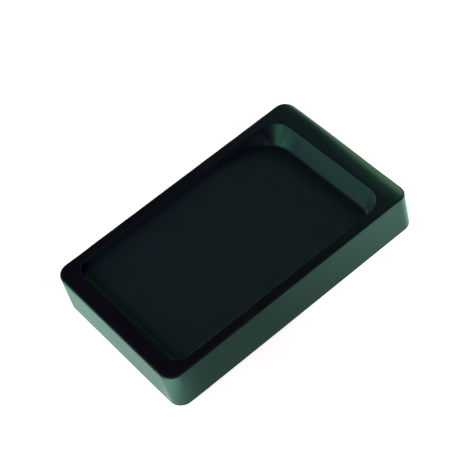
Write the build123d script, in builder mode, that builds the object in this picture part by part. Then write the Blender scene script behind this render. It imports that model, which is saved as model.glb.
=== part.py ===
from build123d import *
import math
import os

# A rectangular desk ink stone on four rubber feet, in millimetres.
# The origin is under the middle of the stone, on the surface that the feet stand on.
# X runs across the stone, Y along it towards the ink pool, Z up.

os.makedirs("parts", exist_ok=True)

# Block of stone
stone_length = 150.0
stone_width = 93.0
stone_height = 23.7
plan_corner_radius = 7.0
top_edge_round = 0.8
bottom_edge_chamfer = 0.8

# Far rim, which rolls off gently towards the outer edge
far_roll_length = 7.5
far_roll_fall = 1.46

# Rim widths, measured on the rim's flat top
side_rim = 5.6
near_rim = 9.0
far_rim = 11.6
lip_round = 0.8

# Recess: a flat grinding surface, a rounded shoulder, and a slope into the pool
mouth_near_corner = 7.0
mouth_far_corner = 10.5
floor_near_corner = 5.0
floor_far_corner = 13.0
grinding_depth = 3.0
slope_length = 25.8
shoulder_radius = 115.0
pool_depth = 8.5
side_wall_angle = 68.0
end_wall_angle = 52.0
floor_round = 2.0

# Feet and the pockets that hold them
foot_radius = 6.5
foot_stand = 1.0
foot_edge_chamfer = 0.4
foot_recess_radius = 4.0
foot_recess_depth = 0.4
pocket_depth = 1.0
pocket_clearance = 0.2
foot_inset = 15.0

# How far a cut runs past the surface that it cuts
overrun = 5.0

# A face counts as level while its middle tilts less than this, in degrees
level_tilt = 26.0

# Levels and places that follow
rim_level = foot_stand + stone_height
mouth_near_y = near_rim - stone_length / 2
mouth_far_y = stone_length / 2 - far_rim
mouth_half_width = stone_width / 2 - side_rim
side_wall_run = pool_depth / math.tan(math.radians(side_wall_angle))
end_wall_run = pool_depth / math.tan(math.radians(end_wall_angle))
pool_level = rim_level - pool_depth
grinding_level = rim_level - grinding_depth
pool_end_y = mouth_far_y - end_wall_run
slope_start_y = pool_end_y - slope_length
far_roll_start_y = stone_length / 2 - far_roll_length
foot_spacing_x = stone_width - 2 * foot_inset
foot_spacing_y = stone_length - 2 * foot_inset


def level_faces(faces, way):
    """The nearly level faces that look up (way 1) or down (way -1)."""
    least = math.cos(math.radians(level_tilt))
    return faces.filter_by(lambda face: way * face.normal_at().Z > least)


def outline_edges(faces):
    """The edges round a group of faces: those that belong to only one of them."""
    edges = [edge for face in faces for edge in face.edges()]
    return ShapeList(
        edge for edge in edges if sum(edge.is_same(other) for other in edges) == 1
    )


# The hollow's shape, as a solid to cut away: walls that lean outwards from a rounded
# base to a wider rounded mouth, steep along the sides and laid back behind the pool
with BuildPart() as hollow:
    with BuildSketch(Plane.XY.offset(pool_level)) as base_outline:
        base_near_y = mouth_near_y + side_wall_run
        with Locations((0, (base_near_y + pool_end_y) / 2)):
            Rectangle(2 * (mouth_half_width - side_wall_run), pool_end_y - base_near_y)
        fillet(base_outline.vertices().group_by(Axis.Y)[0], floor_near_corner)
        fillet(base_outline.vertices().group_by(Axis.Y)[-1], floor_far_corner)
    with BuildSketch(Plane.XY.offset(rim_level)) as mouth_outline:
        with Locations((0, (mouth_near_y + mouth_far_y) / 2)):
            Rectangle(2 * mouth_half_width, mouth_far_y - mouth_near_y)
        fillet(mouth_outline.vertices().group_by(Axis.Y)[0], mouth_near_corner)
        fillet(mouth_outline.vertices().group_by(Axis.Y)[-1], mouth_far_corner)
    loft(ruled=True)
    # The floor: everything under this long section stays stone
    with BuildSketch(Plane.YZ) as above_floor:
        with BuildLine():
            Polyline(
                (mouth_near_y - overrun, grinding_level),
                (slope_start_y, grinding_level),
                (pool_end_y, pool_level),
                (pool_end_y + overrun, pool_level),
                (pool_end_y + overrun, pool_level + overrun),
                (mouth_far_y + overrun, rim_level + overrun),
                (mouth_near_y - overrun, rim_level + overrun),
                close=True,
            )
        make_face()
        shoulder = above_floor.vertices().sort_by_distance((slope_start_y, grinding_level))[0]
        fillet(shoulder, shoulder_radius)
    extrude(amount=stone_width / 2, both=True, mode=Mode.INTERSECT)
    fillet(outline_edges(level_faces(hollow.faces(), -1)), floor_round)

with BuildPart() as stone_body:
    with BuildSketch(Plane.XY.offset(foot_stand)):
        RectangleRounded(stone_width, stone_length, plan_corner_radius)
    extrude(amount=stone_height)
    chamfer(stone_body.faces().sort_by(Axis.Z)[0].edges(), bottom_edge_chamfer)
    # The far rim rolls off along an arc that leaves the flat top tangentially
    with BuildSketch(Plane.YZ):
        with BuildLine():
            roll = TangentArc(
                (far_roll_start_y, rim_level),
                (stone_length / 2, rim_level - far_roll_fall),
                tangent=(1, 0),
            )
            run_out = Line(roll @ 1, roll @ 1 + (roll % 1) * overrun)
            Polyline(
                run_out @ 1,
                (stone_length / 2 + overrun, rim_level + overrun),
                (far_roll_start_y, rim_level + overrun),
                roll @ 0,
            )
        make_face()
    extrude(amount=stone_width / 2 + overrun, both=True, mode=Mode.SUBTRACT)
    fillet(outline_edges(level_faces(stone_body.faces(), 1)), top_edge_round)
    add(hollow.part, mode=Mode.SUBTRACT)
    rim_face = stone_body.faces().filter_by(Axis.Z).sort_by(Axis.Z)[-1]
    fillet(rim_face.inner_wires()[0].edges(), lip_round)
    # Shallow round pockets under the corners, one for each foot
    with BuildSketch(Plane.XY.offset(foot_stand)):
        with GridLocations(foot_spacing_x, foot_spacing_y, 2, 2):
            Circle(foot_radius + pocket_clearance)
    extrude(amount=pocket_depth, mode=Mode.SUBTRACT)

stone_body.part.label = "stone_body"
export_step(stone_body.part, "parts/stone_body.step")

# Each foot is a moulded disc: seated against its pocket's ceiling, chamfered round its
# lower edge, and recessed under its middle so that it grips with a ring
for end_name, end in (("front", -1), ("rear", 1)):
    for side_name, side in (("left", -1), ("right", 1)):
        foot_x = side * foot_spacing_x / 2
        foot_y = end * foot_spacing_y / 2
        foot_section = Plane(origin=(foot_x, foot_y, 0), x_dir=(1, 0, 0), z_dir=(0, -1, 0))
        with BuildPart() as foot:
            with BuildSketch(foot_section):
                with BuildLine():
                    Polyline(
                        (0, foot_recess_depth),
                        (foot_recess_radius - foot_recess_depth, foot_recess_depth),
                        (foot_recess_radius, 0),
                        (foot_radius - foot_edge_chamfer, 0),
                        (foot_radius, foot_edge_chamfer),
                        (foot_radius, foot_stand + pocket_depth),
                        (0, foot_stand + pocket_depth),
                        close=True,
                    )
                make_face()
            revolve(axis=Axis((foot_x, foot_y, 0), (0, 0, 1)))
        foot_name = f"foot_{end_name}_{side_name}"
        foot.part.label = foot_name
        export_step(foot.part, f"parts/{foot_name}.step")
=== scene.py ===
import math
from collections import namedtuple

import bpy
import numpy as np
from mathutils import Matrix, Vector, noise
from mathutils.geometry import delaunay_2d_cdt


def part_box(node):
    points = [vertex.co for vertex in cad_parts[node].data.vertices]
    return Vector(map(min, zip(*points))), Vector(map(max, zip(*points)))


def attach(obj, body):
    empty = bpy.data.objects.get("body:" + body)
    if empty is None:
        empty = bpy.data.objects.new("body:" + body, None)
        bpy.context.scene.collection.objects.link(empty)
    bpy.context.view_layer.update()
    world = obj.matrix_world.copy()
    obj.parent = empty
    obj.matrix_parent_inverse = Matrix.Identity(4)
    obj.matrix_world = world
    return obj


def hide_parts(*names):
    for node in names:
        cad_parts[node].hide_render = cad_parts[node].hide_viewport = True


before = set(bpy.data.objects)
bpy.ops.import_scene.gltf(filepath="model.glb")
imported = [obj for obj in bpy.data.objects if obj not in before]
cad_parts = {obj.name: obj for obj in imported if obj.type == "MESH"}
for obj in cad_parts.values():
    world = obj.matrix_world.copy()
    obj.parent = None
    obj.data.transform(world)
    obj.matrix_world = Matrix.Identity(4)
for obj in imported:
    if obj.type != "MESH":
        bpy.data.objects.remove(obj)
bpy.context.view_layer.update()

# A desk ink stone: one block of dark stone with a hollow ground into it, on four rubber feet.
# The solids give the outer sizes, and the other sizes repeat theirs, in metres.
# Only the far roll, the floor's two far corners, the lip and fine finishing differ from them.
MM = 0.001

# The block
stone_low, stone_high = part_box("stone_body")
half_width = stone_high.x
half_length = stone_high.y
underside_level = stone_low.z
rim_level = stone_high.z
plan_corner_radius = 7.0 * MM
top_edge_round = 0.8 * MM
bottom_edge_chamfer = 0.8 * MM

# The rim
side_rim = 5.6 * MM
near_rim = 9.0 * MM
far_rim = 11.6 * MM
lip_round = 0.8 * MM

# The rim's roll-off at the far end, which is worn wider towards the right
far_roll_left = 4.4 * MM
far_roll_right = 12.4 * MM
far_roll_tilt = math.radians(22.0)
far_roll_power = 2.8
widening_start_x = -0.7 * half_width
widening_end_x = 0.8 * half_width

# The hollow
mouth_near_corner = 7.0 * MM
mouth_far_corner = 10.5 * MM
floor_near_corner = 5.0 * MM
floor_left_corner = 15.0 * MM
floor_right_corner = 6.0 * MM
grinding_depth = 3.0 * MM
slope_length = 25.8 * MM
shoulder_radius = 115.0 * MM
pool_depth = 8.5 * MM
side_wall_angle = math.radians(68.0)
end_wall_angle = math.radians(52.0)
floor_round = 2.0 * MM

# Hand finishing: the lip wanders, and the rounding of the lip and the top edge varies
lip_wander = 0.06 * MM
rounding_change_share = 0.3
finishing_reach = 9.0 * MM

# The near lip is left sharper than the rest
near_lip_reach = 12.0 * MM
near_lip_sharp_share = 0.75

# How fast the lip's polish gives way to the ground finish, from a first trace where the rim ends
lip_trace_share = 0.25
lip_grinding = 0.9
near_lip_grinding = 4.0

# How late the floor's matt finish sets in over the turn from the wall into the floor
floor_finish_power = 3

# The feet, and how loosely the stone's pockets hold them
pocket_clearance = 0.2 * MM
foot_recess_radius = 4.0 * MM
foot_recess_depth = 0.4 * MM
foot_recess_angles = np.radians((0, 25, 50, 75, 90))
foot_groove_radii = (4.75 * MM, 5.45 * MM)
foot_groove_depth = 0.12 * MM
foot_groove_width = 0.3 * MM
foot_edge_round = 0.4 * MM
foot_edge_angles = np.radians((0, 22, 45, 68, 90))

# Points on each stretch of an outline, and round a circle
side_points = 120
end_points = 64
corner_points = 28
circle_points = 72

# Steps across each form, and between points on the floor and the underside
side_steps = 12
edge_steps = 7
rim_steps = 8
lip_steps = 8
wall_steps = 8
turn_steps = 8
floor_step = 1.6 * MM
underside_step = 4.0 * MM

# How exactly points are placed, and from what angle an edge shows as sharp
halvings = 40
grid_margin_share = 0.6
mesh_tolerance = 1e-7
border_tolerance = 1e-9
sharp_angle = math.radians(30)

# Places that follow
mouth_near_y = near_rim - half_length
mouth_far_y = half_length - far_rim
mouth_half_width = half_width - side_rim
side_wall_run = pool_depth / math.tan(side_wall_angle)
end_wall_run = pool_depth / math.tan(end_wall_angle)
base_near_y = mouth_near_y + side_wall_run
base_far_y = mouth_far_y - end_wall_run
base_half_width = mouth_half_width - side_wall_run
pool_level = rim_level - pool_depth
grinding_level = rim_level - grinding_depth
slope_start_y = base_far_y - slope_length
slope_tilt = math.atan2(grinding_level - pool_level, slope_length)
shoulder_start_y = slope_start_y - shoulder_radius * math.tan(slope_tilt / 2)
shoulder_run = shoulder_radius * math.sin(slope_tilt)

# How far the searches for the walls' foot look
longest_wall_run = 2 * end_wall_run
floor_search_share = 1.2

# The camera, placed as the photograph's was
camera_place = Vector((443.2, -216.5, 610.0)) * MM
camera_aim = Vector((-14.8, 5.4, 13.0)) * MM
camera_roll = math.radians(-17.37)
camera_clip_start = 10.0 * MM
camera_lens_mm = 127.1
sensor_width_mm = 36.0


def smooth_step(value, start, end):
    """From 0 at start to 1 at end, with no corner."""
    share = np.clip((value - start) / (end - start), 0, 1)
    return share * share * (3 - 2 * share)


def wander(spots, reach):
    """A smooth number from -1 to 1 at each spot, which changes over the given reach."""
    return np.array([noise.noise(Vector((x, y, 0)) / reach) for x, y in spots])


def furthest(holds, limit):
    """For each point, by halving: the largest distance up to its limit that passes the test."""
    low, high = np.zeros(len(limit)), np.array(limit)
    for _ in range(halvings):
        middle = (low + high) / 2
        passed = holds(middle)
        low = np.where(passed, middle, low)
        high = np.where(passed, high, middle)
    return low


def steps_after_start(count):
    """Shares from just past 0 up to 1, for forms whose first ring is there already."""
    return np.linspace(0, 1, count + 1)[1:]


def outline(half_x, low_y, high_y, near, far):
    """A rounded rectangle's points and outward normals, counter-clockwise from the near right."""
    points, normals = [], []

    def straight(start, end, normal, count):
        for share in np.arange(count) / count:
            points.append(np.add(start, share * np.subtract(end, start)))
            normals.append(normal)

    def corner(centre, radius, quarter):
        for step in range(corner_points):
            angle = math.pi / 2 * (quarter + step / corner_points)
            normal = np.array((math.cos(angle), math.sin(angle)))
            points.append(centre + radius * normal)
            normals.append(normal)

    straight((half_x, low_y + near), (half_x, high_y - far), (1, 0), side_points)
    corner((half_x - far, high_y - far), far, 0)
    straight((half_x - far, high_y), (far - half_x, high_y), (0, 1), end_points)
    corner((far - half_x, high_y - far), far, 1)
    straight((-half_x, high_y - far), (-half_x, low_y + near), (-1, 0), side_points)
    corner((near - half_x, low_y + near), near, 2)
    straight((near - half_x, low_y), (half_x - near, low_y), (0, -1), end_points)
    corner((half_x - near, low_y + near), near, 3)
    return np.array(points), np.array(normals)


def circle(centre, radius):
    angles = np.linspace(0, 2 * math.pi, circle_points, endpoint=False)
    return centre + radius * np.column_stack([np.cos(angles), np.sin(angles)])


def inside_distance(spots, half_x, low_y, high_y, near, far_left, far_right):
    """How far spots lie inside a rounded rectangle: negative outside."""
    middle = (low_y + high_y) / 2
    radius = np.where(spots[:, 0] < 0, far_left, far_right)
    radius = np.where(spots[:, 1] > middle, radius, near)
    across = np.abs(spots[:, 0]) - half_x + radius
    along = np.abs(spots[:, 1] - middle) - (high_y - low_y) / 2 + radius
    beyond = np.hypot(np.maximum(across, 0), np.maximum(along, 0))
    return radius - beyond - np.minimum(np.maximum(across, along), 0)


def far_roll(spots):
    """How long the far roll is beside each spot, and what share of it lies before the spot."""
    widening = smooth_step(spots[:, 0], widening_start_x, widening_end_x)
    length = far_roll_left + (far_roll_right - far_roll_left) * widening
    return length, np.maximum(spots[:, 1] - half_length + length, 0) / length


def rim_height(spots):
    """The rim's height: flat, then rolling off towards the far edge."""
    length, share = far_roll(spots)
    return rim_level - math.tan(far_roll_tilt) * length / far_roll_power * share ** far_roll_power


def rim_slope(spots):
    length, share = far_roll(spots)
    return -math.tan(far_roll_tilt) * share ** (far_roll_power - 1)


def floor_height(y):
    """The floor's height along the stone: flat, a round shoulder, and a straight slope."""
    past = np.clip(y - shoulder_start_y, 0, shoulder_run)
    rounded = grinding_level - shoulder_radius + np.sqrt(shoulder_radius ** 2 - past ** 2)
    return rounded - np.maximum(y - shoulder_start_y - shoulder_run, 0) * math.tan(slope_tilt)


def floor_slope(y):
    past = np.clip(y - shoulder_start_y, 0, shoulder_run)
    return -past / np.sqrt(shoulder_radius ** 2 - past ** 2)


class Shell:
    """Collects points with their marks, and the faces between them."""

    mark_names = ("hollow", "floor", "edge", "sawn")

    def __init__(self):
        self.points, self.marks, self.faces = [], [], []
        self.count = 0
        self.last = None

    def add(self, points, **marks):
        """Adds points, with marks from 0 to 1 that say how each is finished."""
        own = [np.broadcast_to(marks.get(name, 0.0), len(points)) for name in self.mark_names]
        self.points.append(points)
        self.marks.append(np.column_stack(own))
        self.count += len(points)
        return np.arange(self.count - len(points), self.count)

    def bridge(self, lower, upper):
        for start, end in zip(range(-1, len(lower) - 1), range(len(lower))):
            self.faces.append((lower[start], lower[end], upper[end], upper[start]))

    def ring(self, spots, heights, **marks):
        """Adds a closed ring and joins it to the ring before it."""
        numbers = self.add(np.column_stack([spots, np.broadcast_to(heights, len(spots))]), **marks)
        if self.last is not None:
            self.bridge(self.last, numbers)
        self.last = numbers
        return numbers

    def fill(self, loops, step, height, inside, **marks):
        """Triangles between loops that are there already, over points laid out on a grid."""
        placed = np.concatenate(self.points)[:, :2]
        known = np.concatenate([placed[loop] for loop in loops])
        low, high = known.min(axis=0), known.max(axis=0)
        columns, rows = (np.arange(low[n] + step / 2, high[n], step) for n in (0, 1))
        grid = np.stack(np.meshgrid(columns, rows), axis=-1).reshape(-1, 2)
        grid = grid[inside(grid, step * grid_margin_share)]
        edges, start = [], 0
        for loop in loops:
            edges += [(start + n, start + (n + 1) % len(loop)) for n in range(len(loop))]
            start += len(loop)
        spots = np.concatenate([known, grid])
        places = [Vector(spot) for spot in spots]
        _, _, triangles, origin, _, _ = delaunay_2d_cdt(places, edges, [], 0, mesh_tolerance)
        corners = np.array([[origin[corner][0] for corner in triangle] for triangle in triangles])
        numbers = np.concatenate([*loops, self.add(np.column_stack([grid, height(grid)]), **marks)])
        wanted = inside(spots[corners].mean(axis=1), 0)
        self.faces += [tuple(numbers[own]) for own in corners[wanted]]


class Mouth:
    """The hollow's mouth, with each point's way in, lip and wall."""

    def __init__(self):
        corners = (mouth_near_corner, mouth_far_corner)
        points, outward = outline(mouth_half_width, mouth_near_y, mouth_far_y, *corners)
        self.inward = -outward
        self.points = points + self.inward * (lip_wander * wander(points, finishing_reach))[:, None]
        along = self.points[:, 1]
        self.near_share = 1 - smooth_step(along, mouth_near_y, mouth_near_y + near_lip_reach)
        # The shift gives the rounding a pattern of its own
        change = rounding_change_share * wander(self.points + half_length, finishing_reach)
        self.rounding = lip_round * (1 + change) * (1 - near_lip_sharp_share * self.near_share)
        self.run = furthest(self.off_base, np.full(len(points), longest_wall_run))
        self.wall_angle = np.arctan(pool_depth / self.run)
        self.lip_reach = self.rounding * np.tan(self.wall_angle / 2)

    def across(self, distance):
        """The spots at a distance in from the mouth."""
        return self.points + self.inward * distance[:, None]

    def off_base(self, distance):
        """Whether the spots at a distance in still lie outside the hollow's base."""
        base = (base_half_width, base_near_y, base_far_y)
        corners = (floor_near_corner, floor_left_corner, floor_right_corner)
        return inside_distance(self.across(distance), *base, *corners) < 0

    def wall_height(self, distance):
        return rim_level - pool_depth * distance / self.run

    def above_floor(self, distance):
        return self.wall_height(distance) > floor_height(self.across(distance)[:, 1])


def add_outside(shell):
    """The underside's edge, the sides and the rounded top edge.

    Gives the underside's loop and the spots where the rim's top starts.
    """
    corners = (plan_corner_radius, plan_corner_radius)
    outer, outward = outline(half_width, -half_length, half_length, *corners)
    underside = shell.ring(outer - outward * bottom_edge_chamfer, underside_level, sawn=1)
    rounding = top_edge_round * (1 + rounding_change_share * wander(outer, finishing_reach))
    tilt = np.arctan(-rim_slope(outer) * outward[:, 1])
    side_top = rim_height(outer) + rounding * (np.tan(tilt) - 1 / np.cos(tilt))
    side_foot = underside_level + bottom_edge_chamfer
    for share in np.linspace(0, 1, side_steps + 1):
        shell.ring(outer, side_foot + (side_top - side_foot) * share, edge=float(share == 1))
    for share in steps_after_start(edge_steps):
        angle = (math.pi / 2 - tilt) * share
        back = rounding * (1 - np.cos(angle))
        spots = outer - outward * back[:, None]
        shell.ring(spots, side_top + rounding * np.sin(angle), edge=1)
    return underside, spots


def add_rim_and_lip(shell, rim_start, mouth):
    rim_end = mouth.across(-mouth.lip_reach)
    for share in steps_after_start(rim_steps):
        spots = rim_start + (rim_end - rim_start) * share
        shell.ring(spots, rim_height(spots), hollow=lip_trace_share * float(share == 1))
    grinding = lip_grinding + (near_lip_grinding - lip_grinding) * mouth.near_share
    for share in steps_after_start(lip_steps):
        angle = mouth.wall_angle * share
        spots = mouth.across(mouth.rounding * np.sin(angle) - mouth.lip_reach)
        level = rim_level - mouth.rounding * (1 - np.cos(angle))
        ground = np.minimum(lip_trace_share + grinding * share, 1)
        worn = math.sin(math.pi * share)
        shell.ring(spots, level, hollow=ground, floor=mouth.near_share * ground, edge=worn)


def add_walls(shell, mouth):
    """The walls and the round turn into the floor. Gives the spots where the floor starts."""
    meet = furthest(mouth.above_floor, mouth.run * floor_search_share)
    meet_slope = floor_slope(mouth.across(meet)[:, 1])
    turn = mouth.wall_angle + np.arctan(meet_slope * mouth.inward[:, 1])
    wall_start = mouth.lip_reach * np.cos(mouth.wall_angle)
    wall_end = meet - floor_round * np.tan(turn / 2) * np.cos(mouth.wall_angle)
    for share in steps_after_start(wall_steps):
        distance = wall_start + (wall_end - wall_start) * share
        shell.ring(mouth.across(distance), mouth.wall_height(distance), hollow=1)
    turn_centre = wall_end + floor_round * np.sin(mouth.wall_angle)
    turn_level = mouth.wall_height(wall_end) + floor_round * np.cos(mouth.wall_angle)
    for share in steps_after_start(turn_steps):
        angle = mouth.wall_angle - turn * share
        spots = mouth.across(turn_centre - floor_round * np.sin(angle))
        matt = np.maximum(share ** floor_finish_power, mouth.near_share)
        shell.ring(spots, turn_level - floor_round * np.cos(angle), hollow=1, floor=matt)
    return spots


def add_floor(shell, edge):
    """The floor, inside the spots where the walls' turn ends."""

    def height(grid):
        return floor_height(grid[:, 1])

    def in_floor(grid, margin):
        """Where the edge goes once round a point and stays further off than the margin."""
        toward = edge[None] - grid[:, None]
        after = np.roll(toward, -1, axis=1)
        cross = toward[..., 0] * after[..., 1] - toward[..., 1] * after[..., 0]
        turned = np.arctan2(cross, (toward * after).sum(axis=2)).sum(axis=1)
        nearest = np.hypot(toward[..., 0], toward[..., 1]).min(axis=1)
        return (turned > math.pi) & (nearest > margin)

    shell.fill([shell.last], floor_step, height, in_floor, hollow=1, floor=1)


def add_underside(shell, outer_loop, feet):
    """The flat underside with a round pocket for each foot."""
    pockets, loops = [], [outer_loop[::-1]]
    for low, high in feet:
        centre = np.array(((low + high) / 2)[:2])
        radius = high.x - centre[0] + pocket_clearance
        pockets.append((centre, radius))
        shell.last = None
        loops.append(shell.ring(circle(centre, radius), underside_level, sawn=1))
        shell.faces.append(tuple(shell.ring(circle(centre, radius), high.z, sawn=1)))

    def height(grid):
        return np.full(len(grid), underside_level)

    def in_underside(spots, margin):
        corner = plan_corner_radius - bottom_edge_chamfer
        end = half_length - bottom_edge_chamfer
        half_x = half_width - bottom_edge_chamfer
        distance = inside_distance(spots, half_x, -end, end, corner, corner, corner)
        result = distance > margin - border_tolerance
        for centre, radius in pockets:
            result &= np.hypot(*(spots - centre).T) > radius + margin - border_tolerance
        return result

    shell.fill(loops, underside_step, height, in_underside, sawn=1)


def build_stone(feet):
    """The block with its hollow, and with pockets for the given feet."""
    shell = Shell()
    mouth = Mouth()
    underside, rim_start = add_outside(shell)
    add_rim_and_lip(shell, rim_start, mouth)
    add_floor(shell, add_walls(shell, mouth))
    add_underside(shell, underside, feet)
    return shell


def foot_section(radius, height):
    """A moulded foot's section from the flat of its recess outwards: radii and heights."""
    section = []
    for angle in foot_recess_angles:
        section.append((
            foot_recess_radius - foot_recess_depth * math.cos(angle),
            foot_recess_depth * (1 - math.sin(angle)),
        ))
    for middle in foot_groove_radii:
        section.append((middle - foot_groove_width / 2, 0))
        section.append((middle, foot_groove_depth))
        section.append((middle + foot_groove_width / 2, 0))
    for angle in foot_edge_angles:
        section.append((
            radius - foot_edge_round * (1 - math.sin(angle)),
            foot_edge_round * (1 - math.cos(angle)),
        ))
    section.append((radius, height))
    return section


def build_foot(low, high):
    """A foot turned from its section, closed at the recess's middle and at the top."""
    shell = Shell()
    centre = np.array(((low + high) / 2)[:2])
    for radius, level in foot_section(high.x - centre[0], high.z):
        shell.ring(circle(centre, radius), level)
    middle = shell.add(np.array([[*centre, foot_recess_depth]]))[0]
    first = np.arange(circle_points)
    shell.faces += [(middle, after, here) for here, after in zip(first, np.roll(first, -1))]
    shell.faces.append(tuple(shell.last))
    return shell


def make_piece(name, shell, material):
    """A mesh object from a shell, with its marks as attributes and its faces turned outwards."""
    mesh = bpy.data.meshes.new(name)
    faces = [tuple(map(int, face)) for face in shell.faces]
    mesh.from_pydata(np.concatenate(shell.points).tolist(), [], faces)
    for mark, values in zip(shell.mark_names, np.concatenate(shell.marks).T):
        layer = mesh.attributes.new(mark, "FLOAT", "POINT")
        layer.data.foreach_set("value", np.ascontiguousarray(values))
    mesh.materials.append(material)
    piece = bpy.data.objects.new(name, mesh)
    bpy.context.scene.collection.objects.link(piece)
    bpy.context.view_layer.objects.active = piece
    piece.select_set(True)
    bpy.ops.object.mode_set(mode="EDIT")
    bpy.ops.mesh.select_all(action="SELECT")
    bpy.ops.mesh.normals_make_consistent(inside=False)
    bpy.ops.object.mode_set(mode="OBJECT")
    bpy.ops.object.shade_smooth_by_angle(angle=sharp_angle)
    piece.select_set(False)
    return piece


# Colours of the finishes
polished_colour = (0.0046, 0.0024, 0.0066, 1)
ground_colour = (0.0042, 0.0006, 0.0092, 1)
sawn_colour = (0.0150, 0.0160, 0.0190, 1)
worn_colour = (0.0140, 0.0150, 0.0180, 1)
fleck_colour = (0.0300, 0.0330, 0.0380, 1)
rubber_dark = (0.022, 0.022, 0.022, 1)
rubber_light = (0.038, 0.038, 0.038, 1)

# Roughness of the polish and the rubber, from 0 to 1, and what the rest adds to it
polished_roughness = 0.2
rubber_roughness = 0.7
wall_roughness = 0.24
floor_roughness = 0.28
sawn_roughness = 0.4
worn_roughness = 0.08
cloud_roughness = 0.12
rubber_grain_roughness = 0.16

# How large the grain, clouds and tool marks are, and how far apart the flecks lie
grain_size = 0.45 * MM
cloud_size = 16.0 * MM
fleck_spacing = 1.3 * MM
tool_mark_width = 0.5 * MM
tool_mark_stretch = 0.05

# How finely each is drawn, and how far it stands up
grain_detail = 3
cloud_detail = 4
tool_mark_detail = 2
polished_relief = 0.004 * MM
ground_relief = 0.05 * MM
sawn_relief = 0.08 * MM
rubber_relief = 0.01 * MM

# How the colour changes: its least lightness, and what clouds and grain add to it
least_lightness = 0.4
cloud_lightness = 0.7
grain_lightness = 0.5

# How much wear and flecks show, how large a fleck is in its cell, and how many cells have none
wear_share = 0.3
fleck_colour_share = 0.4
fleck_radius_share = 0.12
bare_cells_share = 0.8

# The polish tints what it mirrors towards green: red is held back most, and then blue
polish = {
    "IOR": 1.45,
    "Specular IOR Level": 0.25,
    "Specular Tint": (0.22, 1.0, 0.47, 1),
    "Coat Weight": 0.42,
    "Coat IOR": 1.0,
    "Coat Roughness": 0.3,
    "Coat Tint": (0.0, 1.0, 0.9, 1),
}


def join(tree, value, socket):
    """Gives a socket a value, or joins it to another node's output."""
    if isinstance(value, bpy.types.NodeSocket):
        tree.links.new(value, socket)
    else:
        socket.default_value = value


def reckon(tree, operation, *values):
    """The result of a Math node."""
    result = tree.nodes.new("ShaderNodeMath")
    result.operation = operation
    for value, socket in zip(values, result.inputs):
        join(tree, value, socket)
    return result.outputs["Value"]


def weighted_sum(tree, start, *pairs):
    """The start value plus each pair's product."""
    total = start
    for value, weight in pairs:
        total = reckon(tree, "MULTIPLY_ADD", value, weight, total)
    return total


def blend_colours(tree, share, first, second):
    mix = tree.nodes.new("ShaderNodeMix")
    mix.data_type = "RGBA"
    sockets = {socket.identifier: socket for socket in [*mix.inputs, *mix.outputs]}
    join(tree, share, sockets["Factor_Float"])
    join(tree, first, sockets["A_Color"])
    join(tree, second, sockets["B_Color"])
    return sockets["Result_Color"]


def object_place(tree):
    return tree.nodes.new("ShaderNodeTexCoord").outputs["Object"]


def noise_texture(tree, place, size, detail):
    texture = tree.nodes.new("ShaderNodeTexNoise")
    tree.links.new(place, texture.inputs["Vector"])
    texture.inputs["Scale"].default_value = 1 / size
    texture.inputs["Detail"].default_value = detail
    return texture.outputs["Fac"]


def tool_marks(tree, place, scale):
    """Fine marks, drawn out along the axis whose coordinate the scale shrinks."""
    mapping = tree.nodes.new("ShaderNodeMapping")
    tree.links.new(place, mapping.inputs["Vector"])
    mapping.inputs["Scale"].default_value = scale
    return noise_texture(tree, mapping.outputs["Vector"], tool_mark_width, tool_mark_detail)


def read_mark(tree, name):
    mark = tree.nodes.new("ShaderNodeAttribute")
    mark.attribute_name = name
    return mark.outputs["Fac"]


def fleck_share(tree, place):
    """1 inside a few small mineral flecks, 0 elsewhere."""
    cells = tree.nodes.new("ShaderNodeTexVoronoi")
    tree.links.new(place, cells.inputs["Vector"])
    cells.inputs["Scale"].default_value = 1 / fleck_spacing
    chance = tree.nodes.new("ShaderNodeSeparateColor")
    tree.links.new(cells.outputs["Color"], chance.inputs["Color"])
    small = reckon(tree, "LESS_THAN", cells.outputs["Distance"], fleck_radius_share)
    chosen = reckon(tree, "GREATER_THAN", chance.outputs["Red"], bare_cells_share)
    return reckon(tree, "MULTIPLY", small, chosen)


def bump(tree, height):
    """A normal from a height in metres."""
    node = tree.nodes.new("ShaderNodeBump")
    node.inputs["Distance"].default_value = 1.0
    tree.links.new(height, node.inputs["Height"])
    return node.outputs["Normal"]


def new_material(name):
    material = bpy.data.materials.new(name)
    material.use_nodes = True
    tree = material.node_tree
    return material, tree, tree.nodes["Principled BSDF"]


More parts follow.
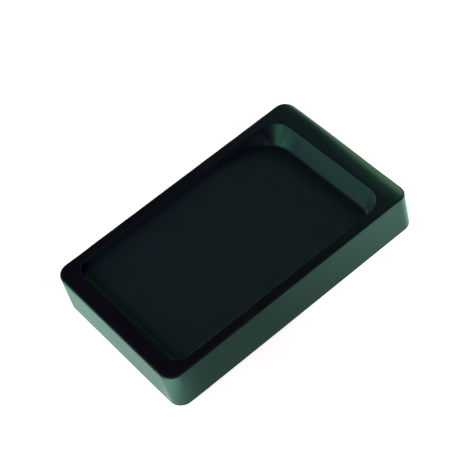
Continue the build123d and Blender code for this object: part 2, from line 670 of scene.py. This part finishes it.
def stone_material():
    """Dark stone: polished outside and on the rim, ground matt in the hollow, sawn underneath."""
    material, tree, shader = new_material("stone")
    place = object_place(tree)
    hollow, floor, edge, sawn = (read_mark(tree, name) for name in Shell.mark_names)
    grain = noise_texture(tree, place, grain_size, grain_detail)
    clouds = noise_texture(tree, place, cloud_size, cloud_detail)
    grinding = tool_marks(tree, place, (1, tool_mark_stretch, 1))
    sawing = tool_marks(tree, place, (tool_mark_stretch, 1, 1))

    wear = reckon(tree, "MULTIPLY", edge, reckon(tree, "MULTIPLY", clouds, wear_share))
    flecks = reckon(tree, "MULTIPLY", fleck_share(tree, place), fleck_colour_share)
    colour = blend_colours(tree, hollow, polished_colour, ground_colour)
    colour = blend_colours(tree, sawn, colour, sawn_colour)
    colour = blend_colours(tree, wear, colour, worn_colour)
    colour = blend_colours(tree, flecks, colour, fleck_colour)
    lightness = weighted_sum(tree, least_lightness, (clouds, cloud_lightness), (grain, grain_lightness))
    shade = tree.nodes.new("ShaderNodeVectorMath")
    shade.operation = "SCALE"
    tree.links.new(colour, shade.inputs["Vector"])
    tree.links.new(lightness, shade.inputs["Scale"])
    tree.links.new(shade.outputs["Vector"], shader.inputs["Base Color"])

    # The clouds are 0.5 on average, so half of what they add comes off first
    roughness = weighted_sum(
        tree, polished_roughness - cloud_roughness / 2,
        (hollow, wall_roughness), (floor, floor_roughness), (sawn, sawn_roughness),
        (edge, worn_roughness), (clouds, cloud_roughness),
    )
    tree.links.new(roughness, shader.inputs["Roughness"])

    relief = weighted_sum(tree, polished_relief, (hollow, ground_relief))
    height = weighted_sum(
        tree, reckon(tree, "MULTIPLY", grain, relief),
        (reckon(tree, "MULTIPLY", grinding, floor), ground_relief),
        (reckon(tree, "MULTIPLY", sawing, sawn), sawn_relief),
    )
    tree.links.new(bump(tree, height), shader.inputs["Normal"])

    for name, value in polish.items():
        shader.inputs[name].default_value = value
    return material


def rubber_material():
    """Matt black moulded rubber with a fine grain."""
    material, tree, shader = new_material("foot_rubber")
    grain = noise_texture(tree, object_place(tree), grain_size, grain_detail)
    tree.links.new(blend_colours(tree, grain, rubber_dark, rubber_light), shader.inputs["Base Color"])
    roughness = weighted_sum(tree, rubber_roughness, (grain, rubber_grain_roughness))
    tree.links.new(roughness, shader.inputs["Roughness"])
    tree.links.new(bump(tree, reckon(tree, "MULTIPLY", grain, rubber_relief)), shader.inputs["Normal"])
    return material


# Soft windows far away in a dark room, with their angles in degrees
Window = namedtuple("Window", "azimuth elevation full_angle end_angle strength colour")
windows = {
    "south": Window(246, 23, 8, 33, 3.0, (1.1, 0.96, 1.1)),
    "west": Window(195, 4, 4, 22, 9.0, (1.1, 1.0, 0.9)),
    "east": Window(0, 2, 3, 18, 2.4, (1.0, 1.0, 1.0)),
    "south_east": Window(283, 19, 9, 27, 14.5, (1.35, 0.95, 0.8)),
    "north_west": Window(139, 41, 2, 13, 1.0, (0.8, 0.88, 1.1)),
    "low_north": Window(127, 22, 3, 18, 4.6, (1.3, 1.0, 0.8)),
    "overhead": Window(285, 62, 3, 9, 8.0, (1.0, 1.0, 1.0)),
}
room_glow = 0.001

# The studio floor, which glows too, so that the object's shadow stays faint
studio_floor_width = 6.0
studio_floor_colour = (0.25, 0.25, 0.25, 1)
studio_floor_roughness = 0.9
studio_floor_gloss = 0.1
studio_floor_glow = 0.875
glow_colour = (1, 1, 1, 1)

# Painted pools of light: soft spots added to the studio floor's glow, where a negative one is painted
# shade
PaintedLightPool = namedtuple("PaintedLightPool", "middle radius strength")
painted_light_pools = {
    "near_corner": PaintedLightPool((0.075, -0.11), 0.06, 9.4),
    "far_right": PaintedLightPool((0.13, 0.12), 0.16, 2.9),
    "near_side": PaintedLightPool((-0.06, -0.11), 0.12, 0.2),
    "far_side": PaintedLightPool((0.02, 0.11), 0.09, 0.15),
    "right_side": PaintedLightPool((0.07, -0.01), 0.1, -0.07),
}


def soft_spot(tree, value, none, full, strength):
    """Strength where the value is at full, fading to nothing where it is at none."""
    fade = tree.nodes.new("ShaderNodeMapRange")
    fade.interpolation_type = "SMOOTHSTEP"
    tree.links.new(value, fade.inputs["Value"])
    fade.inputs["From Min"].default_value = none
    fade.inputs["From Max"].default_value = full
    fade.inputs["To Max"].default_value = strength
    return fade.outputs["Result"]


def vector_value(tree, operation, vector, fixed):
    """A Vector Math node's number, such as the distance from a fixed place."""
    node = tree.nodes.new("ShaderNodeVectorMath")
    node.operation = operation
    tree.links.new(vector, node.inputs[0])
    node.inputs[1].default_value = fixed
    return node.outputs["Value"]


def window_strength(tree, way, window):
    """How brightly a window shines where one looks a given way."""
    elevation = math.radians(window.elevation)
    upward = Vector((math.cos(elevation), 0, math.sin(elevation)))
    direction = Matrix.Rotation(math.radians(window.azimuth), 3, "Z") @ upward
    along = vector_value(tree, "DOT_PRODUCT", way, direction)
    end = math.cos(math.radians(window.end_angle))
    full = math.cos(math.radians(window.full_angle))
    return soft_spot(tree, along, end, full, window.strength)


def studio_world():
    world = bpy.data.worlds.new("studio")
    bpy.context.scene.world = world
    world.use_nodes = True
    tree = world.node_tree
    way = tree.nodes.new("ShaderNodeTexCoord").outputs["Generated"]
    background = tree.nodes["Background"]
    background.inputs["Strength"].default_value = room_glow
    together = background.outputs["Background"]
    for window in windows.values():
        light = tree.nodes.new("ShaderNodeBackground")
        light.inputs["Color"].default_value = (*window.colour, 1)
        tree.links.new(window_strength(tree, way, window), light.inputs["Strength"])
        add = tree.nodes.new("ShaderNodeAddShader")
        tree.links.new(together, add.inputs[0])
        tree.links.new(light.outputs["Background"], add.inputs[1])
        together = add.outputs["Shader"]
    tree.links.new(together, tree.nodes["World Output"].inputs["Surface"])


def studio_floor():
    bpy.ops.mesh.primitive_plane_add(size=studio_floor_width, location=(0, 0, 0))
    floor = bpy.context.active_object
    floor.name = "studio_floor"
    material, tree, shader = new_material("studio_floor")
    shader.inputs["Base Color"].default_value = studio_floor_colour
    shader.inputs["Roughness"].default_value = studio_floor_roughness
    shader.inputs["Specular IOR Level"].default_value = studio_floor_gloss
    shader.inputs["Emission Color"].default_value = glow_colour
    place = object_place(tree)
    glow = studio_floor_glow
    # Each painted pool of light adds its soft spot to the floor's glow, and a negative one paints shade
    for pool in painted_light_pools.values():
        away = vector_value(tree, "DISTANCE", place, (*pool.middle, 0))
        glow = reckon(tree, "ADD", soft_spot(tree, away, pool.radius, 0, pool.strength), glow)
    tree.links.new(glow, shader.inputs["Emission Strength"])
    floor.data.materials.append(material)


def place_camera():
    camera_data = bpy.data.cameras.new("camera")
    camera_data.sensor_width = sensor_width_mm
    camera_data.lens = camera_lens_mm
    camera_data.clip_start = camera_clip_start
    camera = bpy.data.objects.new("camera", camera_data)
    bpy.context.scene.collection.objects.link(camera)
    look = (camera_aim - camera_place).to_track_quat("-Z", "Y").to_matrix()
    turned = look @ Matrix.Rotation(camera_roll, 3, "Z")
    camera.matrix_world = Matrix.LocRotScale(camera_place, turned, None)
    bpy.context.scene.camera = camera


place_camera()
studio_world()
studio_floor()
bpy.context.scene.view_settings.view_transform = "Standard"

foot_nodes = [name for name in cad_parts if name.startswith("foot_")]
stone = make_piece("ink_stone", build_stone([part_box(name) for name in foot_nodes]), stone_material())
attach(stone, "root")
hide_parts("stone_body")

rubber = rubber_material()
for name in foot_nodes:
    foot = make_piece(name.replace("foot", "rubber_foot"), build_foot(*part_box(name)), rubber)
    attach(foot, "root")
    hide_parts(name)
